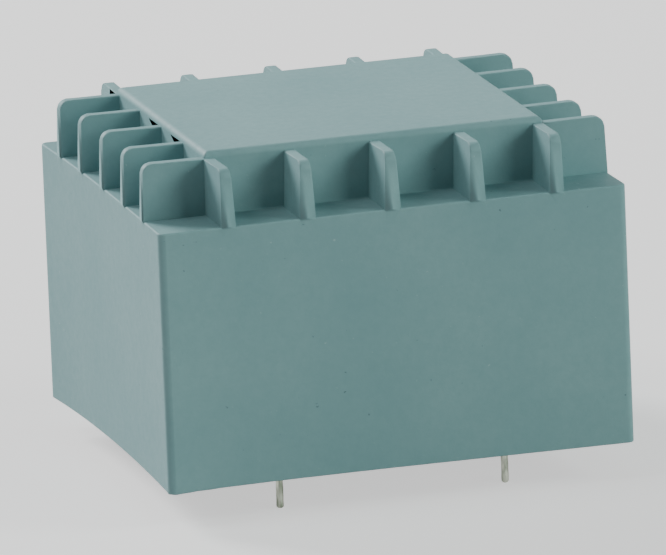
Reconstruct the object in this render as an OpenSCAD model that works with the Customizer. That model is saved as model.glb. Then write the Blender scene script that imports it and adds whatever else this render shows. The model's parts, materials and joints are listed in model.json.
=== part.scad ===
// Encapsulated mains transformer for printed circuit boards.
// A laminated core and a two-chamber coil sit upside down in a ribbed plastic
// cup that is filled with potting resin. Solder pins leave the open underside.
// Frame: origin at the middle of the pin pattern on the plane of the case's rim,
// +X along the long side, -Y towards the two primary pins, +Z towards the ribs.

/* [Core] */
// Width of the centre leg of an E lamination
leg_w = 16; // [14.4:0.2:17.6]
// Width of a yoke and of an outer leg
yoke_w = 8; // [7.2:0.1:8.8]
// Width of a window, between the centre leg and an outer leg
window_w = 8; // [7.2:0.1:8.8]
// Length of a window, between the two yokes
window_l = 24; // [21.6:0.2:26.4]
// Height of the stack of laminations
stack_h = 16.8; // [14:0.1:20]
// Number of laminations in the stack
lam_count = 33; // [20:1:40]
// Insulating coat between two laminations
lam_coat = 0.01; // [0.01:0.01:0.03]

/* [Coil former] */
// Wall of the coil former's tube and flanges
former_t = 0.8; // [0.6:0.05:1]
// Clearance between the coil former and the core
former_gap = 0.2; // [0.1:0.05:0.4]
// How far the flanges stand out above and below the tape
flange_lip = 0.35; // [0.2:0.05:1]
// Space between the core and the strips that carry the pins
strip_gap = 1.2; // [0.6:0.1:2]
// Plastic between a pin's axis and the outer face of its strip
strip_margin = 1.6; // [1.2:0.1:2]

/* [Windings] */
// Space beside the taped winding, out to the flanges' side edges
coil_gap = 1.55; // [1:0.05:2.5]
// Radius of the winding's outer corners
winding_r = 3; // [1:0.1:4]
// Thickness of the insulating tape round each winding
tape_t = 0.25; // [0.15:0.05:0.3]
// Space left between the tape and the outer flange for the lead ends
lead_slot = 1; // [0.9:0.1:1.4]

/* [Pins and leads] */
// Distance between the two primary pins
primary_pitch = 25; // [20:0.5:27.5]
// Distance between the outer secondary pins
secondary_pitch = 25; // [20:0.5:27.5]
// Distance between the inner secondary pins
inner_pitch = 5; // [3:0.5:8]
// Distance between the primary row and the secondary row
row_pitch = 37.5; // [33.5:0.1:42]
// Diameter of a solder pin
pin_d = 0.8; // [0.6:0.05:0.9]
// Length of a solder pin below the rim
pin_free = 4; // [3:0.1:6]
// Length of the chamfer on a pin's tip
pin_tip = 0.2; // [0.1:0.05:0.3]
// Diameter of the upset part of a pin that grips the coil former
pin_grip_d = 1.2; // [1.1:0.05:1.3]
// Depth inside the resin's surface at which that part starts
pin_grip_depth = 0.1; // [0.1:0.1:0.5]
// Plastic between the top of a pin and the top of its strip
pin_cover = 1.4; // [0.8:0.1:2]
// Diameter of the primary wire
primary_wire_d = 0.4; // [0.2:0.05:0.5]
// Diameter of the secondary wire
secondary_wire_d = 0.7; // [0.4:0.05:0.75]
// Radius of the bend in a wire end, at the wire's middle
lead_bend_r = 0.8; // [0.5:0.05:0.8]
// Diameter of the solder joint round a pin
solder_d = 2.4; // [2.1:0.1:2.8]
// Height of the solder joint round a pin
solder_h = 1.5; // [1.2:0.1:2]
// Gap between a solder joint and the strip above it
solder_gap = 0.1; // [0.1:0.05:0.3]

/* [Potting] */
// Depth of the resin's surface inside the rim
resin_recess = 0.8; // [0.4:0.1:1.5]
// Resin between its surface and the solder joints
solder_cover = 0.8; // [0.4:0.1:2]
// Resin between the core and the roof of the ledge
core_cover = 0.4; // [0.2:0.1:1]
// Resin between the flanges and the roof of the raised top
flange_cover = 0.6; // [0.3:0.1:1.5]
// Resin between the core and the short walls, where these bow in most
end_gap = 0.15; // [0.1:0.05:1]
// Resin between the long walls, where these bow in most, and what they hold:
// the pin strips, or the core if that is wider
side_gap = 1.4; // [0.5:0.1:3]

/* [Case] */
// Thickness of the case's side walls
case_wall = 1; // [0.8:0.05:1.5]
// Thickness of the roof under the ledge and on the raised top
roof_t = 1.2; // [0.9:0.05:1.5]
// Radius of the four upright corners outside
corner_r = 0.8; // [0.5:0.1:1.5]
// Radius of the four upright corners inside
inner_corner_r = 0.5; // [0.4:0.1:1]
// How far the two short walls pull in at the rim, midway between the corners
end_bow = 0.65; // [0.3:0.05:0.8]
// How far the two long walls pull in at the rim, midway between the corners
side_bow = 0.45; // [0.2:0.05:0.6]
// Share of that bow which is left at the ledge, where the ribs stiffen the wall
bow_at_ledge = 0.5; // [0.3:0.05:0.8]

/* [Raised top and ribs] */
// Width of the ledge between the raised top and the short walls
ledge_x = 6.95; // [6.2:0.05:7.7]
// Width of the ledge between the raised top and the long walls
ledge_y = 6.3; // [5.6:0.05:7]
// Radius of the rounded edge round the raised top
top_edge_r = 0.7; // [0.4:0.1:1]
// How far each wall of the raised top leans in over its height
top_draft = 0.1; // [0.05:0.05:0.3]
// Number of ribs on each side
rib_count = 5; // [3:1:6]
// Thickness of a rib at the ledge
rib_base_t = 1.75; // [1.4:0.05:2]
// Thickness of a rib along its top
rib_top_t = 1.15; // [0.9:0.05:1.3]
// How far the outer end of a rib leans in over its height
rib_end_draft = 0.2; // [0:0.05:0.4]
// Radius of the upper outer corner of a rib
rib_corner_r = 1; // [0.5:0.1:1.5]
// How much wider the inner pockets between ribs are than the outer ones
inner_pocket_extra = 0.55; // [0:0.05:0.8]

/* [Hidden] */

// Sink of one shape into the next where a cut must run past a face
over = 1;

// Core, and the coil former that fills its windows
lam_pitch = stack_h / lam_count;
core_l = leg_w + 2 * (window_w + yoke_w);
core_w = window_l + 2 * yoke_w;
tube_in_x = leg_w / 2 + former_gap;
tube_in_z = stack_h / 2 + former_gap;
tube_out_x = tube_in_x + former_t;
tube_out_z = tube_in_z + former_t;
flange_x = leg_w / 2 + window_w - former_gap;
flange_y = window_l / 2 - former_gap;
chamber_l = flange_y - 1.5 * former_t;
tape_l = chamber_l - lead_slot;
winding_x = flange_x - coil_gap - tape_t;
winding_z = tube_out_z + winding_x - tube_out_x;
flange_z = winding_z + tape_t + flange_lip;

// Pins: each row lies outside its flange, under a yoke of the core
pin_r = pin_d / 2;
pin_grip_r = pin_grip_d / 2;
pin_y = row_pitch / 2;
strip_y = pin_y + strip_margin;
strip_h = flange_z - stack_h / 2 - strip_gap;
pin_seat = strip_h - pin_cover;
primary_x = [-primary_pitch / 2, primary_pitch / 2];
secondary_x = [-secondary_pitch / 2, -inner_pitch / 2, inner_pitch / 2, secondary_pitch / 2];
// Where the wire ends leave the windings, as shares of the winding's half width
primary_exit = [-0.65, 0.65];
secondary_exit = [-0.65, -0.2, 0.2, 0.65];

// Heights, stacked up from the rim
grip_z = resin_recess + pin_grip_depth;
solder_z = resin_recess + solder_cover;
lead_z = solder_z + solder_h / 2;
flange_bottom_z = solder_z + solder_h + solder_gap;
core_z = flange_bottom_z + flange_z;
core_bottom_z = core_z - stack_h / 2;
winding_bottom_z = core_z - winding_z;
ledge_z = core_z + stack_h / 2 + core_cover + roof_t;
top_z = core_z + flange_z + flange_cover + roof_t;
top_rise = top_z - ledge_z;

// Case round the core and the pin strips, over its corners
case_l = core_l + 2 * (end_gap + end_bow + case_wall);
case_w = 2 * (max(core_w / 2, strip_y) + side_gap + side_bow + case_wall);
inner_l = case_l - 2 * case_wall;
inner_w = case_w - 2 * case_wall;
half_l = case_l / 2;
half_w = case_w / 2;
top_half_x = half_l - ledge_x;
top_half_y = half_w - ledge_y;

// Ribs: the faces of an inner rib lean in by rib_lean on each side. The first and
// last rib end flush with the raised top, and lean on the inner side only.
rib_rise = top_rise - top_edge_r;
rib_lean = (rib_base_t - rib_top_t) / 2;
end_rib_base_t = rib_top_t + rib_lean + top_draft;
function end_rib_face(half) = half - end_rib_base_t;
// Clear width of the outer pockets at the ledge. The inner ones are wider.
function pocket(half) = (2 * end_rib_face(half) - (rib_count - 2) * rib_base_t
    - (rib_count - 3) * inner_pocket_extra) / (rib_count - 1);
function rib_pitch(half) = pocket(half) + inner_pocket_extra + rib_base_t;
// Middle of inner rib i, counted from the first rib, which is rib 0
function rib_mid(half, i) =
    pocket(half) + rib_base_t / 2 - end_rib_face(half) + (i - 1) * rib_pitch(half);

// Case ------------------------------------------------------------------

// Flat outline with four rounded corners
module round_outline(l, w, r) {
    square([l - 2 * r, w], center = true);
    square([l, w - 2 * r], center = true);
    for (sx = [-1, 1], sy = [-1, 1])
        translate([sx * (l / 2 - r), sy * (w / 2 - r)])
            circle(r = r, $fn = 48);
}

// Round body that presses one wall inwards by the given bow at the rim.
// It leans, so that only a share of the bow is left at the ledge.
module wall_press(chord, reach, bow) {
    press_r = (pow(chord / 2, 2) + pow(bow, 2)) / (2 * bow);
    lean = atan(bow * (1 - bow_at_ledge) / ledge_z);
    translate([-reach - press_r + bow, 0, 0])
        rotate([0, -lean, 0])
            cylinder(r = press_r, h = 4 * ledge_z, center = true, $fn = 1440);
}

// The four presses round a cup of the given size
module wall_presses(l, w) {
    for (turn = [0, 180])
        rotate([0, 0, turn])
            wall_press(w, l / 2, end_bow);
    for (turn = [90, 270])
        rotate([0, 0, turn])
            wall_press(l, w / 2, side_bow);
}

// Section of the raised top: leaning sides and a rounded upper edge
module top_section(half) {
    lip = half - top_draft;
    polygon([
        [-half, -over], [half, -over], [half, 0], [lip, rib_rise],
        [lip - top_edge_r, top_rise], [top_edge_r - lip, top_rise],
        [-lip, rib_rise], [-half, 0]
    ]);
    for (side = [-1, 1])
        translate([side * (lip - top_edge_r), rib_rise])
            circle(r = top_edge_r, $fn = 48);
}

// Block with the given section, upright, running along Y
module run_along_y(length) {
    rotate([90, 0, 0])
        linear_extrude(height = length, center = true)
            children();
}

module raised_top() {
    translate([0, 0, ledge_z])
        intersection() {
            run_along_y(case_w)
                top_section(top_half_x);
            rotate([0, 0, 90])
                run_along_y(case_l)
                    top_section(top_half_y);
        }
}

// Side view of a pair of ribs that run out from the raised top to both walls
module rib_side_view(reach) {
    lean = atan(rib_end_draft / rib_rise);
    arc_z = rib_rise - rib_corner_r;
    arc_x = reach - arc_z * tan(lean) - rib_corner_r / cos(lean);
    touch = [arc_x + rib_corner_r * cos(lean), arc_z + rib_corner_r * sin(lean)];
    polygon([
        [-reach, -over], [reach, -over], [reach, 0], touch, [arc_x, rib_rise],
        [-arc_x, rib_rise], [-touch[0], touch[1]], [-reach, 0]
    ]);
    for (side = [-1, 1])
        translate([side * arc_x, arc_z])
            circle(r = rib_corner_r, $fn = 48);
}

// End view of an inner rib
module inner_rib_view(half, i) {
    mid = rib_mid(half, i);
    base = rib_base_t / 2;
    crest = rib_top_t / 2;
    polygon([
        [mid - base, 0], [mid + base, 0], [mid + crest, rib_rise], [mid - crest, rib_rise]
    ]);
}

// End view of the rib that is flush with the raised top, on the + side
module end_rib_view(half) {
    crest = half - top_draft;
    polygon([
        [end_rib_face(half), 0], [half, 0],
        [crest, rib_rise], [crest - rib_top_t, rib_rise]
    ]);
}

// One rib: its end view run along Y, cut to its side view
module rib(reach) {
    intersection() {
        run_along_y(2 * reach)
            children();
        rotate([0, 0, 90])
            run_along_y(case_l + case_w)
                rib_side_view(reach);
    }
}

// Ribs across the given half size of the raised top, reaching to both walls
module rib_row(half, reach) {
    for (i = [1 : rib_count - 2])
        rib(reach)
            inner_rib_view(half, i);
    for (side = [0, 1])
        mirror([side, 0, 0])
            rib(reach)
                end_rib_view(half);
}

module ribs() {
    translate([0, 0, ledge_z]) {
        rib_row(top_half_x, half_w);
        rotate([0, 0, 90])
            rib_row(top_half_y, half_l);
    }
}

// Space inside the case above the given height
module cup_space(from_z) {
    difference() {
        translate([0, 0, from_z])
            linear_extrude(height = ledge_z - roof_t - from_z)
                round_outline(inner_l, inner_w, inner_corner_r);
        wall_presses(inner_l, inner_w);
    }
    translate([-top_half_x + roof_t, -top_half_y + roof_t, core_z])
        cube([2 * (top_half_x - roof_t), 2 * (top_half_y - roof_t), top_z - roof_t - core_z]);
}

// What is given, with its sides pressed in to the case's bowed walls
module bowed() {
    difference() {
        children();
        wall_presses(case_l, case_w);
    }
}

module case() {
    color([0.40, 0.56, 0.56])
        difference() {
            union() {
                bowed()
                    linear_extrude(height = ledge_z)
                        round_outline(case_l, case_w, corner_r);
                bowed()
                    ribs();
                raised_top();
            }
            cup_space(-over);
        }
}

// Core ------------------------------------------------------------------

module e_outline() {
    difference() {
        translate([-core_l / 2, -core_w / 2])
            square([core_l, core_w - yoke_w]);
        for (side = [-1, 1])
            translate([side * (leg_w + window_w) / 2, over / 2])
                square([window_w, window_l + over], center = true);
    }
}

module i_outline() {
    translate([-core_l / 2, core_w / 2 - yoke_w])
        square([core_l, yoke_w]);
}

// The stack: every other lamination is turned round, so that the joints overlap
module lamination_stack() {
    for (i = [0 : lam_count - 1])
        translate([0, 0, core_bottom_z + i * lam_pitch + lam_coat / 2])
            rotate([0, 0, 180 * (i % 2)])
                linear_extrude(height = lam_pitch - lam_coat)
                    children();
}

module e_laminations() {
    color([0.42, 0.43, 0.45])
        lamination_stack()
            e_outline();
}

module i_laminations() {
    color([0.48, 0.49, 0.51])
        lamination_stack()
            i_outline();
}

module core_block() {
    translate([-core_l / 2, -core_w / 2, core_bottom_z])
        cube([core_l, core_w, stack_h]);
}

// Coil former -----------------------------------------------------------

// Upright plate across the coil's axis, out to the flanges' edges
module flange_plate(y, t) {
    translate([-flange_x, y - t / 2, flange_bottom_z])
        cube([2 * flange_x, t, 2 * flange_z]);
}

// Strip under a yoke that carries one row of pins, on the +Y side
module pin_strip() {
    translate([-flange_x, flange_y - former_t, flange_bottom_z])
        cube([2 * flange_x, strip_y - flange_y + former_t, strip_h]);
}

module coil_former() {
    color([0.88, 0.87, 0.80])
        difference() {
            union() {
                translate([-tube_out_x, -flange_y, core_z - tube_out_z])
                    cube([2 * tube_out_x, 2 * flange_y, 2 * tube_out_z]);
                for (side = [-1, 1])
                    flange_plate(side * (flange_y - former_t / 2), former_t);
                flange_plate(0, former_t);
                pin_strip();
                rotate([0, 0, 180])
                    pin_strip();
            }
            translate([-tube_in_x, -flange_y - over, core_z - tube_in_z])
                cube([2 * tube_in_x, 2 * (flange_y + over), 2 * tube_in_z]);
            for (x = primary_x)
                pin_grip(x, -pin_y);
            for (x = secondary_x)
                pin_grip(x, pin_y);
        }
}

// Windings --------------------------------------------------------------

// Ring round the coil's axis, on the +Y side of the middle flange. Its section is
// the first child less the second.
module coil_ring(length) {
    translate([0, former_t / 2 + length, core_z])
        rotate([90, 0, 0])
            linear_extrude(height = length)
                difference() {
                    children(0);
                    children(1);
                }
}

// Section of a winding's outside, grown by the given thickness
module coil_outline(grow) {
    round_outline(2 * (winding_x + grow), 2 * (winding_z + grow), winding_r + grow);
}

module winding() {
    coil_ring(chamber_l) {
        coil_outline(0);
        square([2 * tube_out_x, 2 * tube_out_z], center = true);
    }
}

module winding_tape() {
    coil_ring(tape_l) {
        coil_outline(tape_t);
        coil_outline(0);
    }
}

module primary_winding() {
    color([0.72, 0.40, 0.18])
        rotate([0, 0, 180])
            winding();
}

module secondary_winding() {
    color([0.76, 0.44, 0.20])
        winding();
}

module primary_tape() {
    color([0.93, 0.80, 0.30])
        rotate([0, 0, 180])
            winding_tape();
}

module secondary_tape() {
    color([0.93, 0.80, 0.30])
        winding_tape();
}

// Space that the coil takes in the resin, out to the flanges' edges
module coil_space() {
    translate([-flange_x, -flange_y, flange_bottom_z])
        cube([2 * flange_x, 2 * flange_y, 2 * flange_z]);
    pin_strip();
    rotate([0, 0, 180])
        pin_strip();
}

// Pins and leads --------------------------------------------------------

// Upset upper part of a pin, from inside the resin's surface into the strip
module pin_grip(x, y) {
    translate([x, y, grip_z])
        cylinder(r = pin_grip_r, h = flange_bottom_z + pin_seat - grip_z, $fn = 48);
}

module solder_pin(x, y) {
    color([0.80, 0.80, 0.76]) {
        translate([x, y, -pin_free])
            cylinder(r1 = pin_r - pin_tip / 2, r2 = pin_r, h = pin_tip, $fn = 48);
        translate([x, y, pin_tip - pin_free])
            cylinder(r = pin_r, h = grip_z + pin_free - pin_tip, $fn = 48);
        pin_grip(x, y);
    }
}

// Wire from the winding's underside at exit_x down past the flange, round a bend and
// along the strip into the solder joint of the pin at pin_x, on the +Y side
module lead(exit_x, pin_x, wire_d) {
    exit_y = flange_y - former_t - lead_slot / 2;
    run = [pin_x - exit_x, pin_y - exit_y];
    run_l = norm(run) - pin_grip_r - wire_d / 4;
    bend_z = lead_z + lead_bend_r;
    color([0.78, 0.42, 0.20])
        translate([exit_x, exit_y, 0])
            rotate([0, 0, atan2(run[1], run[0])]) {
                translate([0, 0, bend_z])
                    cylinder(d = wire_d, h = winding_bottom_z - bend_z, $fn = 32);
                translate([lead_bend_r, 0, bend_z])
                    rotate([90, 0, 0])
                        rotate([0, 0, 180])
                            rotate_extrude(angle = 90, $fn = 48)
                                translate([lead_bend_r, 0])
                                    circle(d = wire_d, $fn = 32);
                translate([lead_bend_r, 0, lead_z])
                    rotate([0, 90, 0])
                        cylinder(d = wire_d, h = run_l - lead_bend_r, $fn = 32);
            }
}

module primary_lead(i) {
    rotate([0, 0, 180])
        lead(-primary_exit[i] * winding_x, -primary_x[i], primary_wire_d);
}

module secondary_lead(i) {
    lead(secondary_exit[i] * winding_x, secondary_x[i], secondary_wire_d);
}

module all_leads() {
    for (i = [0 : len(primary_x) - 1])
        primary_lead(i);
    for (i = [0 : len(secondary_x) - 1])
        secondary_lead(i);
}

// Barrel of solder round a pin, just under its strip
module solder_barrel(x, y) {
    waist = solder_d / 2 - solder_h / 4;
    translate([x, y, solder_z])
        rotate_extrude($fn = 48)
            polygon([
                [0, 0], [waist, 0], [solder_d / 2, solder_h / 4],
                [solder_d / 2, solder_h * 3 / 4], [waist, solder_h], [0, solder_h]
            ]);
}

module all_solder_barrels() {
    for (x = primary_x)
        solder_barrel(x, -pin_y);
    for (x = secondary_x)
        solder_barrel(x, pin_y);
}

module solder_joints() {
    color([0.72, 0.73, 0.74])
        difference() {
            all_solder_barrels();
            all_leads();
            for (x = primary_x)
                pin_grip(x, -pin_y);
            for (x = secondary_x)
                pin_grip(x, pin_y);
        }
}

// Potting ---------------------------------------------------------------

module potting_resin() {
    color([0.30, 0.42, 0.42])
        difference() {
            cup_space(resin_recess);
            core_block();
            coil_space();
            all_leads();
            all_solder_barrels();
            for (x = primary_x)
                solder_pin(x, -pin_y);
            for (x = secondary_x)
                solder_pin(x, pin_y);
        }
}

case();
potting_resin();
coil_former();
primary_winding();
secondary_winding();
primary_tape();
secondary_tape();
e_laminations();
i_laminations();
solder_pin(primary_x[0], -pin_y);  // primary_pin_left
solder_pin(primary_x[1], -pin_y);  // primary_pin_right
primary_lead(0);  // primary_lead_left
primary_lead(1);  // primary_lead_right
solder_pin(secondary_x[0], pin_y);  // secondary_pin_1
solder_pin(secondary_x[1], pin_y);  // secondary_pin_2
solder_pin(secondary_x[2], pin_y);  // secondary_pin_3
solder_pin(secondary_x[3], pin_y);  // secondary_pin_4
secondary_lead(0);  // secondary_lead_1
secondary_lead(1);  // secondary_lead_2
secondary_lead(2);  // secondary_lead_3
secondary_lead(3);  // secondary_lead_4
solder_joints();
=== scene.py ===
# %% [markdown]
# # A potted transformer for printed circuit boards
#
# The object is a small mains transformer. Its coil and core sit in a moulded plastic case
# that is filled with resin, and six tinned pins stick out of the open underside. From
# outside almost everything you see is one moulding: a box with slightly sunken walls, a
# ledge all round, a raised top, and a comb of cooling ribs on each side.
#
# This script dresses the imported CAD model. The pieces inside the resin keep their CAD
# shapes and only get materials. The moulding, the resin's surface and the pins are rebuilt
# as finer meshes, because rounded edges and small flaws are what makes them look real.

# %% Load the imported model
import json
import math
import random

import bmesh
import bpy
from mathutils import Matrix, Vector, noise

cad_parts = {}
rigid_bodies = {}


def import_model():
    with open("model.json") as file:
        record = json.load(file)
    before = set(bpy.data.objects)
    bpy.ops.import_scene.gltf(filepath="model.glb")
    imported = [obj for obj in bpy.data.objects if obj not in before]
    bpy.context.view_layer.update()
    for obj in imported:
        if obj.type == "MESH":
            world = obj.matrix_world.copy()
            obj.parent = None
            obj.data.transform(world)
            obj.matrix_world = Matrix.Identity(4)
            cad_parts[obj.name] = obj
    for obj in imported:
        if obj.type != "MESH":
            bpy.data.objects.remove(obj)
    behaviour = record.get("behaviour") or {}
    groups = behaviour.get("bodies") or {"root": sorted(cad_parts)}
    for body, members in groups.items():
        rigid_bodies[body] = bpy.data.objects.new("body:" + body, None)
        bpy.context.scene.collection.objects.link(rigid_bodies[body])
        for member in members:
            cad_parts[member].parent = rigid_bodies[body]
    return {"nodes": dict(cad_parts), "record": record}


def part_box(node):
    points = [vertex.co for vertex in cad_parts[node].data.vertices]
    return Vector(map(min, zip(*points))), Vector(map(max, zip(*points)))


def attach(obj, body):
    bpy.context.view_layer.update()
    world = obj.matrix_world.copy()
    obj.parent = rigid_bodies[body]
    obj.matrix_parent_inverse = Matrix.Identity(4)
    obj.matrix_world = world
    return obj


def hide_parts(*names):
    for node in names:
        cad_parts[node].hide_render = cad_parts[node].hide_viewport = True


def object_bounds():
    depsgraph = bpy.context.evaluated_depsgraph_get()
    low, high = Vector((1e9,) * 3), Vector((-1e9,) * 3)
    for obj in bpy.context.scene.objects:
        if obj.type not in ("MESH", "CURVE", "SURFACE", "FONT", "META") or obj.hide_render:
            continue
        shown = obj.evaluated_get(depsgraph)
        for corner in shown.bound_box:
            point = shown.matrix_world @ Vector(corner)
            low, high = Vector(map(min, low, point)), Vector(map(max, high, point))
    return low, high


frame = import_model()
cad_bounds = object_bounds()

MM = 0.001
scene = bpy.context.scene
print("nodes:", len(frame["nodes"]))

# %% [markdown]
# ## Sizes
#
# Blender works in metres and this part is small, so sizes are written in millimetres here
# and multiplied by MM when a mesh is made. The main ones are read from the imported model:
# the box of the case, and the boxes of free air between the ribs that its record states.
# Each of those boxes stops a little short of the plastic round it.

# %% Sizes read from the model
record = frame["record"]
AIR_GAP = 0.15
HALF_L, HALF_W, TOP_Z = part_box("case")[1] / MM
air = {entry["name"]: entry["box_m"] for entry in record["physics"]["openings"]}


def air_box(name):
    """Lowest and highest corner of a stated box of air, in millimetres."""
    low, high = air[name]
    return Vector(low) / MM, Vector(high) / MM


front_air, left_air = air_box("front_pocket_1"), air_box("left_pocket_1")
LEDGE_Z = front_air[0].z - AIR_GAP
TOP_HALF_X = -(left_air[1].x + AIR_GAP)
TOP_HALF_Y = -(front_air[1].y + AIR_GAP)
print("half sizes", HALF_L, HALF_W, "ledge at", LEDGE_Z, "top at", TOP_Z)
print("raised top", TOP_HALF_X, TOP_HALF_Y)

# %% [markdown]
# ## Small helpers for meshes
#
# Most pieces here are lofts: one closed outline is repeated at several heights, and each
# pair of neighbouring outlines is joined by a ring of four-sided faces. A loft is a good
# choice for a moulding, because a rounded edge is only a few more outlines.

# %% Meshes from lists of points
def new_piece(name, build):
    """Object whose mesh the function build fills, given in millimetres."""
    shape = bmesh.new()
    build(shape)
    bmesh.ops.recalc_face_normals(shape, faces=shape.faces)
    bmesh.ops.scale(shape, vec=(MM, MM, MM), verts=shape.verts)
    mesh = bpy.data.meshes.new(name)
    shape.to_mesh(mesh)
    shape.free()
    piece = bpy.data.objects.new(name, mesh)
    scene.collection.objects.link(piece)
    return piece


def loft(shape, loops):
    """Closed solid through outlines that all have the same number of points."""
    rings = [[shape.verts.new(point) for point in loop] for loop in loops]
    count = len(rings[0])
    for lower, upper in zip(rings, rings[1:]):
        for i in range(count):
            j = (i + 1) % count
            shape.faces.new((lower[i], lower[j], upper[j], upper[i]))
    shape.faces.new(rings[0][::-1])
    shape.faces.new(rings[-1])


def combine(target, tools, operation):
    """Boolean of the target with all the tools, written into the target's mesh."""
    group = bpy.data.collections.new("tools")
    scene.collection.children.link(group)
    for tool in tools:
        scene.collection.objects.unlink(tool)
        group.objects.link(tool)
    cut = target.modifiers.new("combine", "BOOLEAN")
    cut.operation = operation
    cut.solver = "EXACT"
    cut.operand_type = "COLLECTION"
    cut.collection = group
    ready = target.evaluated_get(bpy.context.evaluated_depsgraph_get())
    mesh = bpy.data.meshes.new_from_object(ready)
    target.modifiers.clear()
    target.data = mesh
    for tool in tools:
        bpy.data.objects.remove(tool)
    bpy.data.collections.remove(group)


# %% [markdown]
# ## The block
#
# The lower part of the moulding is a box whose four walls are a little sunken. Thin walls
# of a deep moulding pull in as the plastic and the resin shrink, most at the open rim, and
# least under the ribs, which stiffen them. The low point isn't quite in the middle either.
# A loft of bowed outlines gives this shape, and a soft noise keeps the walls from being
# perfectly smooth. All corrections go inwards, so the box keeps its outside size.

# %% Outline of the block at a height
WALL_T = 1.0
CORNER_R = 0.8
SOFT_EDGE = 0.2
RIM_EDGE = 0.1
BOW_AT_LEDGE = 0.5
# direction along each wall, its bow at the rim and where it is deepest, from -1 to 1
walls = {
    "front": (Vector((1, 0)), 0.6, -0.3),
    "right": (Vector((0, 1)), 0.6, 0.1),
    "rear": (Vector((-1, 0)), 0.5, 0.1),
    "left": (Vector((0, -1)), 0.7, -0.14),
}
WAVE_DEPTH = 0.05
WAVE_LENGTH = 14.0
WAVES_ALONG = 2
NOISE_SHIFT = 9  # keeps the noise of one wall apart from that of the next


def wall_frame(name):
    """Direction along a wall, its outward direction, its half length and its distance."""
    along = walls[name][0]
    out = Vector((along.y, -along.x))
    half = abs(along.x) * HALF_L + abs(along.y) * HALF_W
    reach = abs(out.x) * HALF_L + abs(out.y) * HALF_W
    return along, out, half, reach


def sunken(t, deepest):
    """1 where the wall sinks most and 0 at both its ends; t runs from -1 to 1."""
    shifted = (t - deepest) / (1 - deepest * t)
    return 1 - shifted * shifted


def wall_inset(name, t, z):
    """How far the wall lies inside the box at place t and height z."""
    along, bow, deepest = walls[name]
    share = 1 - (1 - BOW_AT_LEDGE) * z / LEDGE_Z
    place = along.to_3d() * (t * WAVES_ALONG + NOISE_SHIFT) + Vector((0, 0, z / WAVE_LENGTH))
    wave = 0.5 + 0.5 * noise.noise(place)
    calm = 1 - (z / LEDGE_Z) ** 2
    return sunken(t, deepest) * (bow * share + WAVE_DEPTH * wave * calm)


def block_outline(z, inset=0.0, radius=None, columns=64, corner_steps=10):
    """Outline of the block at height z, moved inwards by inset."""
    radius = CORNER_R - inset if radius is None else radius
    points = []
    for name in walls:
        along, out, half, reach = wall_frame(name)
        half, reach = half - inset - radius, reach - inset
        for i in range(columns + 1):
            t = 2 * i / columns - 1
            flat = out * (reach - wall_inset(name, t, z)) + along * (half * t)
            points.append((flat.x, flat.y, z))
        centre = along * half + out * (reach - radius)
        for i in range(1, corner_steps):
            turn = math.pi / 2 * i / corner_steps
            flat = centre + (out * math.cos(turn) + along * math.sin(turn)) * radius
            points.append((flat.x, flat.y, z))
    return points


BURR = 0.3
BURR_LENGTH = 3.5
BURR_ELSEWHERE = 0.03
BURR_NOISE = 1.7


def burr(x, y):
    """How far the rough lip of plastic at the rim hangs down, most at one front corner."""
    away = math.hypot(x + HALF_L, y + HALF_W)
    rough = 0.5 + 0.5 * noise.noise(Vector((x * BURR_NOISE, y * BURR_NOISE, 5)))
    return rough * (BURR_ELSEWHERE + BURR * math.exp(-away / BURR_LENGTH))


def rim_outline(turn):
    """Outline on the rim's small radius, with the burr; turn is 0 at the bottom."""
    inset, z = RIM_EDGE * (1 - math.sin(turn)), RIM_EDGE * (1 - math.cos(turn))
    return [(x, y, z - burr(x, y) * math.cos(turn)) for x, y, z in block_outline(z, inset)]


def block(shape):
    """The lower box with a soft edge at the rim and round the ledge."""
    rows, steps = 28, 4
    turns = [math.pi / 2 * i / steps for i in range(steps + 1)]
    loops = [rim_outline(a) for a in turns]
    for i in range(1, rows):
        loops.append(block_outline(RIM_EDGE + (LEDGE_Z - SOFT_EDGE - RIM_EDGE) * i / rows))
    for a in turns:
        loops.append(block_outline(LEDGE_Z - SOFT_EDGE * (1 - math.sin(a)),
                                   SOFT_EDGE * (1 - math.cos(a))))
    loft(shape, loops)


case = new_piece("moulded_case", block)
print("block:", len(case.data.polygons), "faces")

# %% [markdown]
# ## The raised top
#
# Above the ledge the case steps in and rises round the coil. Its walls lean in a little so
# that the moulding leaves its tool, and a generous radius runs round its upper edge. Where
# the wall meets the ledge there is a small hollow radius.

# %% Raised top
EDGE_R = 0.7
TOP_DRAFT = 0.1
TOP_CORNER_R = 0.3
FOOT_R = 0.2
SINK = 0.6
RIB_RISE = TOP_Z - LEDGE_Z - EDGE_R
ARC_STEPS = 8


def rounded_rectangle(half_x, half_y, radius, z, steps=6):
    """Outline with rounded corners at height z."""
    points = []
    for quarter, (side_x, side_y) in enumerate(((1, 1), (-1, 1), (-1, -1), (1, -1))):
        for i in range(steps + 1):
            turn = math.pi / 2 * (quarter + i / steps)
            points.append((side_x * (half_x - radius) + radius * math.cos(turn),
                           side_y * (half_y - radius) + radius * math.sin(turn), z))
    return points


def foot_flare(height):
    """How far the hollow radius at the foot of a wall reaches out at a height."""
    if height >= FOOT_R:
        return 0.0
    return FOOT_R - math.sqrt(FOOT_R ** 2 - (FOOT_R - max(height, 0)) ** 2)


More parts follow.
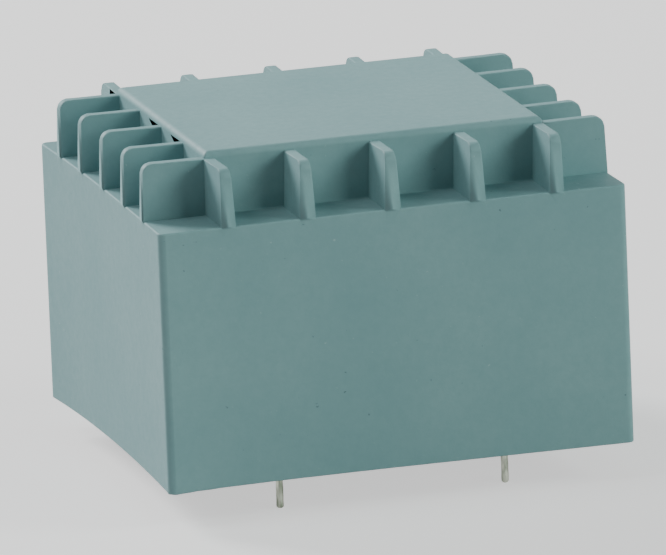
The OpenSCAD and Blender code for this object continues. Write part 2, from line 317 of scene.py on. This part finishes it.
def raised_top(shape):
    """Loft of the raised top, from inside the block to its rounded upper edge."""
    loops = []
    for height in (-SINK, 0, FOOT_R * 0.1, FOOT_R * 0.35, FOOT_R, RIB_RISE / 2, RIB_RISE):
        grow = foot_flare(height) - TOP_DRAFT * max(height, 0) / RIB_RISE
        loops.append(rounded_rectangle(TOP_HALF_X + grow, TOP_HALF_Y + grow,
                                       TOP_CORNER_R, LEDGE_Z + height))
    for i in range(1, ARC_STEPS + 1):
        turn = math.pi / 2 * i / ARC_STEPS
        inset = TOP_DRAFT + EDGE_R * (1 - math.cos(turn))
        z = LEDGE_Z + RIB_RISE + EDGE_R * math.sin(turn)
        radius = max(TOP_CORNER_R - inset * 0.3, 0.05)
        loops.append(rounded_rectangle(TOP_HALF_X - inset, TOP_HALF_Y - inset, radius, z))
    loft(shape, loops)


top_block = new_piece("raised_top", raised_top)

# %% [markdown]
# ## The ribs
#
# Five ribs on each side run from the raised top to the outer wall and carry heat away. Each
# is thinner at its crest than at its foot, its outer end leans in, and its upper outer
# corner is round. The end of a rib is flush with the wall below it, so the solid dives into
# the block just under the ledge instead of stopping on it. One function draws a rib from
# its side view, and the bevel operator rounds its long edges.

# %% One rib
RIB_LEAN = 0.3
RIB_END_DRAFT = 0.2
RIB_CORNER_R = 1.0
RIB_EDGE = 0.17
RIB_PROUD = 0.02
RIB_ROOT = 1.5
RIB_DIVE = 0.15


def rib_side_view(start, reach):
    """Points of a rib's side view: distance from the middle, and height over the ledge."""
    lean = math.atan(RIB_END_DRAFT / RIB_RISE)
    arc_z = RIB_RISE - RIB_CORNER_R
    arc_u = reach - arc_z * math.tan(lean) - RIB_CORNER_R / math.cos(lean)
    points = [(start, -SINK), (reach - RIB_DIVE, -SINK), (reach, -SOFT_EDGE - 0.05), (reach, 0)]
    for i in range(ARC_STEPS + 1):
        turn = lean + (math.pi / 2 - lean) * i / ARC_STEPS
        points.append((arc_u + RIB_CORNER_R * math.cos(turn),
                       arc_z + RIB_CORNER_R * math.sin(turn)))
    points.append((start, RIB_RISE))
    return points


def rib(shape, name, foot, crest):
    """Rib towards the named wall; foot and crest are its two faces there, along the wall."""
    along, out, half, reach = wall_frame(name)
    half -= CORNER_R
    start = abs(out.x) * TOP_HALF_X + abs(out.y) * TOP_HALF_Y - RIB_ROOT
    rings = []
    for low, high in zip(foot, crest):
        end = reach - wall_inset(name, low / half, LEDGE_Z) + RIB_PROUD
        ring = []
        for u, height in rib_side_view(start, end):
            across = low + (high - low) * height / RIB_RISE
            flat = out * u + along * across
            ring.append(shape.verts.new((flat.x, flat.y, LEDGE_Z + height)))
        rings.append(ring)
    count = len(rings[0])
    shape.faces.new(rings[0])
    shape.faces.new(rings[1][::-1])
    for i in range(count):
        j = (i + 1) % count
        shape.faces.new((rings[0][j], rings[0][i], rings[1][i], rings[1][j]))
    sides = [shape.edges.get((ring[i], ring[i + 1]))
             for ring in rings for i in range(1, count - 1)]
    bmesh.ops.bevel(shape, geom=sides, offset=RIB_EDGE, segments=3, profile=0.5,
                    affect="EDGES", clamp_overlap=True)


# %% [markdown]
# The free air between two ribs says where each rib stands: the ribs are the plastic
# between neighbouring boxes of air. The first and the last rib of a side are flush with the
# raised top, so they lean on their inner side only.

# %% All the ribs
POCKETS = 4


def rib_faces(name):
    """Faces of each rib along its wall, as ((foot, foot), (crest, crest))."""
    along = walls[name][0]
    boxes = [air_box(f"{name}_pocket_{i + 1}") for i in range(POCKETS)]
    gaps = sorted(sorted(corner.to_2d().dot(along) for corner in box) for box in boxes)
    limit = TOP_HALF_X if along.x else TOP_HALF_Y
    feet = [-limit - RIB_PROUD] + [g + s * AIR_GAP for gap in gaps for g, s in zip(gap, (-1, 1))]
    feet.append(limit + RIB_PROUD)
    for i in range(0, len(feet), 2):
        low, high = feet[i], feet[i + 1]
        lean_low = TOP_DRAFT if i == 0 else RIB_LEAN
        lean_high = TOP_DRAFT if i == len(feet) - 2 else RIB_LEAN
        yield (low, high), (low + lean_low, high - lean_high)


ribs = []
for name in walls:
    for number, (foot, crest) in enumerate(rib_faces(name), 1):
        ribs.append(new_piece(f"{name}_rib_{number}", lambda shape: rib(shape, name, foot, crest)))
        print(ribs[-1].name, [round(v, 2) for v in foot], [round(v, 2) for v in crest])

# %% [markdown]
# ## One moulding with a hollow inside
#
# The block, the raised top and the ribs are united with exact Booleans, because the real
# case is one shot of plastic. Then the space inside is cut out: it leaves a thin wall that
# shows at the rim, all round the resin. After that the mesh is cleaned, and the edges that
# are sharper than a small angle are marked, so that flat faces shade flat.

# %% Unite and hollow
ROOF_T = 1.2
CAVITY_R = 0.5


def cavity(shape):
    """Space inside the walls, from below the rim to the roof under the ledge."""
    loops = [block_outline(z, WALL_T, CAVITY_R) for z in (-1, 0, LEDGE_Z / 2, LEDGE_Z - ROOF_T)]
    loft(shape, loops)


def coil_space(shape):
    """Space inside the raised top."""
    loft(shape, [rounded_rectangle(TOP_HALF_X - ROOF_T, TOP_HALF_Y - ROOF_T, TOP_CORNER_R, z)
                 for z in (LEDGE_Z - 3, TOP_Z - ROOF_T)])


combine(case, [top_block] + ribs, "UNION")
combine(case, [new_piece("cavity", cavity), new_piece("coil_space", coil_space)], "DIFFERENCE")


TINY = 0.0000002  # metres


def clean(piece):
    """Merges doubled points and reports edges that don't have two faces."""
    shape = bmesh.new()
    shape.from_mesh(piece.data)
    bmesh.ops.remove_doubles(shape, verts=shape.verts, dist=TINY)
    bmesh.ops.dissolve_degenerate(shape, edges=shape.edges, dist=TINY)
    open_edges = sum(1 for edge in shape.edges if len(edge.link_faces) != 2)
    shape.to_mesh(piece.data)
    shape.free()
    print(piece.name, len(piece.data.polygons), "faces,", open_edges, "open edges")


clean(case)


def finish_edges(piece, sharp_angle):
    """Smooth shading between sharp edges, with flat faces kept flat."""
    piece.data.shade_smooth()
    piece.data.set_sharp_from_angle(angle=math.radians(sharp_angle))
    even = piece.modifiers.new("even_shading", "WEIGHTED_NORMAL")
    even.keep_sharp = True
    even.weight = 90


finish_edges(case, 35)
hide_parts("case")
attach(case, "root")

# %% [markdown]
# ## The resin's surface
#
# The resin is poured in with the case upside down. It creeps up the walls and the pins a
# little while it is still liquid, shrinks as it hardens, and keeps a few burst bubbles. The
# CAD solid has a flat surface, so a thin skin with that relief is laid over it. It is a
# grid whose points are pulled to the bowed inside of the walls.

# %% Skin of the resin
resin_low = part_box("potting_resin")[0] / MM
PIN_NODES = [name for name in frame["nodes"] if "_pin_" in name]
pin_boxes = {name: [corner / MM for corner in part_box(name)] for name in PIN_NODES}
pin_places = [((low + high) / 2).to_2d() for low, high in pin_boxes.values()]
PIN_R = 0.4
CREEP, CREEP_LENGTH = 0.35, 0.55
random.seed(11)
bubbles = [(Vector((random.uniform(-22, 22), random.uniform(-19, 19))), random.uniform(0.25, 0.6))
           for _ in range(26)]


def creep(distance):
    """How far the resin has crept down towards the rim beside a wall or pin."""
    return CREEP * math.exp(-max(distance, 0) / CREEP_LENGTH)


def resin_depth(x, y, to_wall):
    """Height of the resin's surface over the rim."""
    ripple = 0.05 * noise.noise(Vector((x / 9, y / 9, 0.3)))
    ripple += 0.02 * noise.noise(Vector((x, y, 2)) / 2.3)
    z = resin_low.z - 0.08 - ripple - creep(to_wall)
    for place in pin_places:
        z -= creep((Vector((x, y)) - place).length - PIN_R)
    for place, size in bubbles:
        away = (Vector((x, y)) - place).length / size
        if away < 1:
            z += 0.3 * size * (1 - away * away)
    return max(z, 0.25)


def resin_skin(shape):
    """Grid with the relief below and a flat face above, inside the CAD resin."""
    columns, rows = 150, 136
    half_x, half_y = HALF_L - WALL_T + 0.03, HALF_W - WALL_T + 0.03
    grid = []
    for j in range(rows + 1):
        v = math.sin(math.pi / 2 * (2 * j / rows - 1))
        line = []
        for i in range(columns + 1):
            u = math.sin(math.pi / 2 * (2 * i / columns - 1))
            left, right = wall_inset("left", -v, 0), wall_inset("right", v, 0)
            front, rear = wall_inset("front", u, 0), wall_inset("rear", -u, 0)
            x = -half_x + left + (2 * half_x - left - right) * (u + 1) / 2
            y = -half_y + front + (2 * half_y - front - rear) * (v + 1) / 2
            to_wall = min((1 - abs(u)) * half_x, (1 - abs(v)) * half_y)
            line.append(shape.verts.new((x, y, resin_depth(x, y, to_wall))))
        grid.append(line)
    for low, high in zip(grid, grid[1:]):
        for i in range(columns):
            shape.faces.new((low[i], high[i], high[i + 1], low[i + 1]))
    rim = (grid[0][:-1] + [line[-1] for line in grid[:-1]] + grid[-1][:0:-1]
           + [line[0] for line in grid[:0:-1]])
    inner = [shape.verts.new((v.co.x, v.co.y, resin_low.z + 0.3)) for v in rim]
    for i in range(len(rim)):
        j = (i + 1) % len(rim)
        shape.faces.new((rim[i], rim[j], inner[j], inner[i]))
    shape.faces.new(inner)


resin = new_piece("resin_surface", resin_skin)
finish_edges(resin, 50)
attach(resin, "root")
print("resin skin:", len(resin.data.polygons), "faces")

# %% [markdown]
# ## Solder pins
#
# The pins are cut from round wire and dipped in tin, so they are turned shapes: a profile
# swept round an axis. The dip leaves them slightly uneven and with a rounded drop at the
# tip. The thicker stretch above the resin's surface is where the pin grips the coil former.

# %% Pins
GRIP_R = 0.6
GRIP_Z = 0.9
PIN_SIDES = 24


def pin_profile(low, high):
    """Radius of a pin at each height, from its tip up."""
    heights = [0, 0.02, 0.06, 0.12, 0.2] + [0.2 + 0.15 * i for i in range(1, 30)]
    profile = [(PIN_R * (0.35 + 0.65 * math.sqrt(min(h / 0.2, 1))), low + h) for h in heights]
    profile += [(PIN_R, GRIP_Z - 0.05), (GRIP_R, GRIP_Z + 0.1), (GRIP_R, high - 0.1)]
    profile.append((GRIP_R - 0.1, high))
    return profile


def solder_pin(shape, node):
    """Turned pin with the uneven skin of a tin dip below the rim."""
    low, high = pin_boxes[node]
    middle = (low + high) / 2
    loops = []
    for radius, z in pin_profile(low.z, high.z):
        loop = []
        for i in range(PIN_SIDES):
            turn = 2 * math.pi * i / PIN_SIDES
            way = Vector((math.cos(turn), math.sin(turn), 0))
            dip = 0.03 * noise.noise(Vector((middle.x, middle.y, z * 1.4)) + way * 0.7)
            place = way * (radius + (dip if z < GRIP_Z else 0))
            loop.append((middle.x + place.x, middle.y + place.y, z))
        loops.append(loop)
    loft(shape, loops)


for node in PIN_NODES:
    pin = new_piece(node + "_tinned", lambda shape: solder_pin(shape, node))
    finish_edges(pin, 40)
    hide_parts(node)
    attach(pin, "root")
    print(pin.name, len(pin.data.polygons), "faces")

# %% [markdown]
# ## Finishes
#
# Every finish is a small network of nodes on the Principled shader. The helpers below make
# the parts that several finishes share: a noise in millimetres, a mix of two colours by a
# mask, and a bump. Colours are written as they would be picked from a screen, and turned
# into the linear values that the shader works with.

# %% Helpers for finishes
# The Mix node keeps sockets for numbers, vectors and colours; these are the colour ones.
COLOUR_A, COLOUR_B, COLOUR_RESULT = 6, 7, 2


def linear(red, green, blue):
    """Screen colour from 0 to 255 as linear RGBA."""
    channels = []
    for value in (red, green, blue):
        value /= 255
        channels.append(value / 12.92 if value <= 0.04045 else ((value + 0.055) / 1.055) ** 2.4)
    return (*channels, 1.0)


class Finish:
    """A material under construction, with its Principled shader and object coordinates."""

    def __init__(self, name):
        self.material = bpy.data.materials.new(name)
        self.material.use_nodes = True
        self.nodes = self.material.node_tree.nodes
        self.links = self.material.node_tree.links
        self.shader = self.nodes["Principled BSDF"]
        self.place = self.node("ShaderNodeTexCoord").outputs["Object"]

    def node(self, kind, **settings):
        """New node with the given settings."""
        made = self.nodes.new(kind)
        for key, value in settings.items():
            setattr(made, key, value)
        return made

    def link(self, source, target):
        """Joins an output to an input."""
        self.links.new(source, target)

    def stretched(self, x, y, z, offset=(0, 0, 0)):
        """Object coordinates multiplied by three factors."""
        mapping = self.node("ShaderNodeMapping")
        mapping.inputs["Scale"].default_value = (x, y, z)
        mapping.inputs["Location"].default_value = offset
        self.link(self.place, mapping.inputs["Vector"])
        return mapping.outputs["Vector"]

    def noise(self, size, detail=3.0, roughness=0.5, place=None):
        """Noise from 0 to 1 with features of about that size in millimetres."""
        texture = self.node("ShaderNodeTexNoise")
        texture.inputs["Scale"].default_value = 1 / (size * MM)
        texture.inputs["Detail"].default_value = detail
        texture.inputs["Roughness"].default_value = roughness
        self.link(place or self.place, texture.inputs["Vector"])
        return texture.outputs["Fac"]

    def ramp(self, value, low, high, start=0.0, end=1.0):
        """Value mapped from low..high to start..end, and held there."""
        scale = self.node("ShaderNodeMapRange")
        for socket, number in zip(("From Min", "From Max", "To Min", "To Max"),
                                  (low, high, start, end)):
            scale.inputs[socket].default_value = number
        self.link(value, scale.inputs["Value"])
        return scale.outputs["Result"]

    def math(self, operation, a, b):
        """Sum, product or other operation of two numbers or outputs."""
        made = self.node("ShaderNodeMath", operation=operation)
        for socket, value in zip(made.inputs, (a, b)):
            if isinstance(value, (int, float)):
                socket.default_value = value
            else:
                self.link(value, socket)
        return made.outputs[0]

    def mix(self, mask, first, second):
        """First colour where the mask is 0 and the second where it is 1."""
        made = self.node("ShaderNodeMix", data_type="RGBA")
        self.link(mask, made.inputs["Factor"])
        for index, colour in ((COLOUR_A, first), (COLOUR_B, second)):
            if isinstance(colour, tuple):
                made.inputs[index].default_value = colour
            else:
                self.link(colour, made.inputs[index])
        return made.outputs[COLOUR_RESULT]

    def bump(self, height, depth, strength=1.0, under=None):
        """Bump of the given depth in millimetres, over another if one is given."""
        made = self.node("ShaderNodeBump")
        made.inputs["Distance"].default_value = depth * MM
        made.inputs["Strength"].default_value = strength
        self.link(height, made.inputs["Height"])
        if under is not None:
            self.link(under, made.inputs["Normal"])
        return made.outputs["Normal"]


def wear(piece, finish):
    """Gives a piece one finish."""
    piece.data.materials.clear()
    piece.data.materials.append(finish.material)


# %% [markdown]
# ## The case's plastic
#
# The case is a filled plastic with a dull moulded surface. Its grey-green colour is cloudy,
# because pigment and filler never spread quite evenly, and rubbing has left pale streaks
# and small specks.

# %% Grey-green moulded plastic
plastic = Finish("case_plastic")
cloud = plastic.ramp(plastic.noise(17, 3), 0.35, 0.68)
grain = plastic.ramp(plastic.noise(0.9, 4, 0.65), 0.3, 0.7)
body = plastic.mix(cloud, linear(123, 162, 165), linear(133, 170, 172))
speckle = plastic.math("MULTIPLY", grain, 0.35)
body = plastic.mix(speckle, body, linear(116, 154, 157))
pale = plastic.ramp(plastic.noise(0.55, 2), 0.74, 0.8)
body = plastic.mix(plastic.math("MULTIPLY", pale, 0.5), body, linear(170, 200, 198))
elsewhere = plastic.stretched(1, 1, 1, (0.3, 0.1, 0.7))
dark = plastic.ramp(plastic.noise(0.7, 2, place=elsewhere), 0.75, 0.8)
body = plastic.mix(plastic.math("MULTIPLY", dark, 0.6), body, linear(60, 84, 90))
plastic.link(body, plastic.shader.inputs["Base Color"])
plastic.link(plastic.ramp(grain, 0, 1, 0.52, 0.62), plastic.shader.inputs["Roughness"])
plastic.shader.inputs["Specular IOR Level"].default_value = 0.25
relief = plastic.bump(plastic.noise(0.35, 3, 0.6), 0.02, 0.6)
relief = plastic.bump(plastic.noise(5, 2), 0.06, 0.5, relief)
plastic.link(relief, plastic.shader.inputs["Normal"])
wear(case, plastic)

# %% [markdown]
# ## Resin and tin
#
# Cast resin is dark and a little glossy, with soft flow marks. Tinned wire is a metal whose
# brightness changes from bright to dull along its length, so its noise is stretched along
# the pin and drives the colour, the roughness and the relief together.

# %% Resin and tin
cast_resin = Finish("cast_resin")
flow = cast_resin.ramp(cast_resin.noise(7, 4), 0.35, 0.7)
cast_resin.link(cast_resin.mix(flow, linear(44, 52, 54), linear(66, 76, 76)),
                cast_resin.shader.inputs["Base Color"])
cast_resin.link(cast_resin.ramp(flow, 0, 1, 0.25, 0.45), cast_resin.shader.inputs["Roughness"])
cast_resin.link(cast_resin.bump(cast_resin.noise(1.6, 3), 0.04, 0.6),
                cast_resin.shader.inputs["Normal"])
wear(resin, cast_resin)

tinned = Finish("tinned_wire")
dull = tinned.ramp(tinned.noise(0.5, 3, place=tinned.stretched(1, 1, 0.3)), 0.35, 0.65)
tinned.link(tinned.mix(dull, linear(186, 190, 176), linear(120, 128, 112)),
            tinned.shader.inputs["Base Color"])
tinned.link(tinned.ramp(dull, 0, 1, 0.25, 0.5), tinned.shader.inputs["Roughness"])
tinned.shader.inputs["Metallic"].default_value = 1.0
tinned.link(tinned.bump(dull, 0.02, 0.7), tinned.shader.inputs["Normal"])

for piece in scene.objects:
    if piece.name.endswith("_tinned"):
        wear(piece, tinned)

# %% [markdown]
# The pieces inside the resin can't be seen, but they travel with the model, so each has a
# finish of its own too. Turns of wire and stacked sheets are both rows of fine bands, which
# a sine of one coordinate draws, as colour and as relief.

# %% Bands for turns of wire and stacked sheets
def banded(name, axis, pitch, light, dark, roughness, metallic):
    """Finish with bands across one axis, pitch millimetres apart."""
    finish = Finish(name)
    parts = finish.node("ShaderNodeSeparateXYZ")
    finish.link(finish.place, parts.inputs[0])
    phase = finish.math("MULTIPLY", parts.outputs[axis], 2 * math.pi / (pitch * MM))
    bands = finish.ramp(finish.math("SINE", phase, 0), -1, 1)
    spread = finish.math("MULTIPLY", bands, finish.ramp(finish.noise(2.5), 0.3, 0.7, 0.6, 1))
    finish.link(finish.mix(spread, dark, light), finish.shader.inputs["Base Color"])
    finish.link(finish.bump(bands, pitch / 4, 0.6), finish.shader.inputs["Normal"])
    finish.link(finish.ramp(spread, 0, 1, roughness + 0.1, roughness),
                finish.shader.inputs["Roughness"])
    finish.shader.inputs["Metallic"].default_value = metallic
    return finish


def mottled(name, size, light, dark, roughness, metallic=0.0):
    """Finish with soft patches of two colours and a matching relief."""
    finish = Finish(name)
    patches = finish.ramp(finish.noise(size, 4), 0.35, 0.65)
    finish.link(finish.mix(patches, dark, light), finish.shader.inputs["Base Color"])
    finish.link(finish.ramp(patches, 0, 1, roughness, roughness + 0.15),
                finish.shader.inputs["Roughness"])
    finish.link(finish.bump(patches, 0.03, 0.5), finish.shader.inputs["Normal"])
    finish.shader.inputs["Metallic"].default_value = metallic
    return finish


ALONG_Y, ALONG_Z = 1, 2
COPPER = linear(196, 112, 62)
enamelled_turns = banded("enamelled_turns", ALONG_Y, 0.5, COPPER, linear(118, 52, 26), 0.3, 0.8)
core_sheets = banded("core_sheets", ALONG_Z, 0.51, linear(150, 152, 156), linear(62, 64, 70),
                     0.4, 1.0)
inside = {
    "case": plastic,
    "potting_resin": cast_resin,
    "coil_former": mottled("former_nylon", 6, linear(226, 222, 206), linear(208, 203, 186), 0.45),
    "primary_winding": enamelled_turns,
    "secondary_winding": enamelled_turns,
    "primary_tape": mottled("polyester_tape", 3, linear(222, 190, 92), linear(200, 164, 70), 0.25),
    "e_laminations": core_sheets,
    "i_laminations": core_sheets,
    "lead": mottled("enamelled_wire", 1.5, COPPER, linear(150, 76, 40), 0.3, 0.8),
    "pin": tinned,
    "solder_joints": mottled("solder", 0.8, linear(196, 198, 200), linear(140, 144, 148), 0.3, 1.0),
}
inside["secondary_tape"] = inside["primary_tape"]
for name, node in frame["nodes"].items():
    kind = next(key for key in inside if key == name or f"_{key}_" in name)
    for place in node.material_slots:
        place.material = inside[kind].material
    print(name, "wears", inside[kind].material.name)

# %% [markdown]
# ## Camera
#
# The object is seen from the front, from a little to the left and above, and from far away
# with a long lens, so that its upright edges stay almost parallel. The camera's three axes
# are worked out from the angles and written straight into its matrix.

# %% Camera
VIEW_AZ, VIEW_EL, VIEW_ROLL = (math.radians(a) for a in (-16.17, 13.77, -2.29))
VIEW_DISTANCE = 1634.6
VIEW_ANGLE = math.radians(2.5)
AIM_X, AIM_Y = 0.29, -1.47

back = Vector((math.sin(VIEW_AZ) * math.cos(VIEW_EL), -math.cos(VIEW_AZ) * math.cos(VIEW_EL),
               math.sin(VIEW_EL)))
level = (-back).cross(Vector((0, 0, 1))).normalized()
upright = level.cross(-back)
right = math.cos(VIEW_ROLL) * level + math.sin(VIEW_ROLL) * upright
up = -math.sin(VIEW_ROLL) * level + math.cos(VIEW_ROLL) * upright
lens = bpy.data.cameras.new("camera")
lens.sensor_fit = "HORIZONTAL"
lens.angle = VIEW_ANGLE
lens.clip_start, lens.clip_end = 0.05, 20
camera = bpy.data.objects.new("camera", lens)
scene.collection.objects.link(camera)
eye = Vector((0, 0, LEDGE_Z / 2)) + back * VIEW_DISTANCE - right * AIM_X - up * AIM_Y
camera.matrix_world = Matrix.Translation(eye * MM) @ Matrix((right, up, back)).transposed().to_4x4()
scene.camera = camera
print("camera at", eye, "lens", round(lens.lens, 1), "mm")

# %% [markdown]
# ## Floor and surroundings
#
# The floor lies at the tips of the pins and catches the shadow. Rays that reach the camera
# directly, by a reflection or through glass see a pale background, while the light that the
# surroundings throw on the object is set apart from that and stays weak.

# %% Which rays see the background
def background_rays(nodes, links):
    """Output that is 1 for camera, glossy and transmission rays."""
    seen = nodes.new("ShaderNodeLightPath")
    found = seen.outputs["Is Camera Ray"]
    for kind in ("Is Glossy Ray", "Is Transmission Ray"):
        either = nodes.new("ShaderNodeMath")
        either.operation = "MAXIMUM"
        links.new(found, either.inputs[0])
        links.new(seen.outputs[kind], either.inputs[1])
        found = either.outputs[0]
    return found


def choose(nodes, links, usual, background, target):
    """Sends one shader to rays that see the background and another to all the rest."""
    pick = nodes.new("ShaderNodeMixShader")
    links.new(background_rays(nodes, links), pick.inputs[0])
    links.new(usual, pick.inputs[1])
    links.new(background, pick.inputs[2])
    links.new(pick.outputs[0], target)


# %% Floor
FLOOR_Z = cad_bounds[0][2]
FLOOR_HALF = 3.0  # metres
FLOOR_GLOW = 0.85
FLOOR_COLOUR = (0.5, 0.5, 0.5, 1)
floor_mesh = bpy.data.meshes.new("floor")
corners = [(x * FLOOR_HALF, y * FLOOR_HALF, FLOOR_Z)
           for x, y in ((-1, -1), (1, -1), (1, 1), (-1, 1))]
floor_mesh.from_pydata(corners, [], [(0, 1, 2, 3)])
floor = bpy.data.objects.new("floor", floor_mesh)
scene.collection.objects.link(floor)

pale_floor = bpy.data.materials.new("pale_floor")
pale_floor.use_nodes = True
nodes, links = pale_floor.node_tree.nodes, pale_floor.node_tree.links
nodes.clear()
plain = nodes.new("ShaderNodeBsdfDiffuse")
plain.inputs["Color"].default_value = FLOOR_COLOUR
glow = nodes.new("ShaderNodeEmission")
glow.inputs["Strength"].default_value = FLOOR_GLOW
both = nodes.new("ShaderNodeAddShader")
links.new(plain.outputs[0], both.inputs[0])
links.new(glow.outputs[0], both.inputs[1])
surface = nodes.new("ShaderNodeOutputMaterial").inputs["Surface"]
choose(nodes, links, plain.outputs[0], both.outputs[0], surface)
floor.data.materials.append(pale_floor)
print("floor at", FLOOR_Z)

# %% Surroundings
SKY_LIGHT = 0.13
sky = bpy.data.worlds.new("studio")
scene.world = sky
sky.use_nodes = True
nodes, links = sky.node_tree.nodes, sky.node_tree.links
nodes.clear()
shades = []
for strength in (SKY_LIGHT, 1.0):
    shade = nodes.new("ShaderNodeBackground")
    shade.inputs["Color"].default_value = (1, 1, 1, 1)
    shade.inputs["Strength"].default_value = strength
    shades.append(shade.outputs[0])
surface = nodes.new("ShaderNodeOutputWorld").inputs["Surface"]
choose(nodes, links, *shades, surface)
print("light from the surroundings:", SKY_LIGHT)

# %% [markdown]
# ## Lamps
#
# Four soft square lamps stand round the object. The strongest is behind it on the left,
# which lights the top and leaves the front in half shade. The others lift the left wall,
# the right wall and the front, so that each pocket between two ribs shades to one side.

# %% Lamps
def soft_lamp(name, azimuth, elevation, distance, size, watts, colour=(1, 1, 1)):
    """Square lamp that looks at the middle of the object."""
    lamp = bpy.data.lights.new(name, "AREA")
    lamp.size = size
    lamp.energy = watts
    lamp.color = colour
    print(name, watts, "W")
    holder = bpy.data.objects.new(name, lamp)
    scene.collection.objects.link(holder)
    az, el = math.radians(azimuth), math.radians(elevation)
    way = Vector((math.sin(az) * math.cos(el), -math.cos(az) * math.cos(el), math.sin(el)))
    middle = Vector((0, 0, TOP_Z / 2 * MM))
    holder.location = middle + way * distance
    holder.rotation_euler = way.to_track_quat("Z", "Y").to_euler()


LAMP_DISTANCE, LAMP_SIZE = 0.9, 0.35
COOL_GREEN = (0.85, 1.0, 0.95)
soft_lamp("key_back_left", -150, 30, LAMP_DISTANCE, LAMP_SIZE, 10.0)
soft_lamp("over_left", -90, 52, LAMP_DISTANCE, LAMP_SIZE, 2.0)
soft_lamp("fill_right", 60, 30, LAMP_DISTANCE, LAMP_SIZE, 3.2, COOL_GREEN)
soft_lamp("fill_front", 30, 8, LAMP_DISTANCE, LAMP_SIZE, 2.4, COOL_GREEN)
